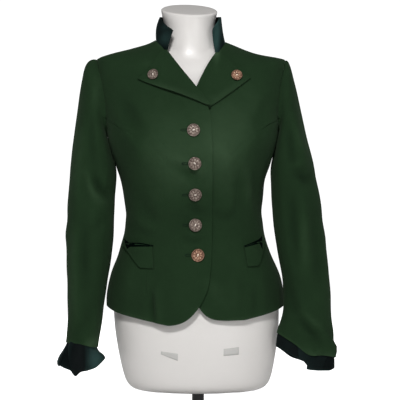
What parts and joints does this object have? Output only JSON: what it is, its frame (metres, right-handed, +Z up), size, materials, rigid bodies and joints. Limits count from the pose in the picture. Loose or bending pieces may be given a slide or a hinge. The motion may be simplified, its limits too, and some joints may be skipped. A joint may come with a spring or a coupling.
{
  "type": "wool jacket on dress form",
  "caption": "Fitted wool jacket with turned-back lapels, velvet stand collar and velvet cuffs, worn on a limbless dress form on a round stand.",
  "frame": {"origin": "middle of the stand's foot, on its underside, where it meets the surface it stands on", "axes": "+Z up, the jacket faces -Y, +X to its wearer's left"},
  "size_m": [0.5476, 0.2924, 0.8941],
  "materials": {
    "wool": "milled wool cloth, matt",
    "velvet": "short velvet pile",
    "button": "antiqued, raised ornament",
    "form": "smooth gloss",
    "stand": "satin"
  },
  "bodies": {
    "root": {"front_right": "wool", "front_left": "wool", "side_right": "wool", "side_left": "wool", "back_right": "wool", "back_left": "wool", "top_sleeve_right": "wool", "top_sleeve_left": "wool", "under_sleeve_right": "wool", "under_sleeve_left": "wool", "lapel_right": "wool", "lapel_left": "wool", "pocket_right": "wool", "pocket_left": "wool", "collar": "velvet", "cuff_right": "velvet", "cuff_left": "velvet", "button_1": "button", "button_2": "button", "button_3": "button", "button_4": "button", "button_5": "button", "lapel_button_right": "button", "lapel_button_left": "button", "form": "form", "post": "stand", "base": "stand"}
  },
  "joints": []
}
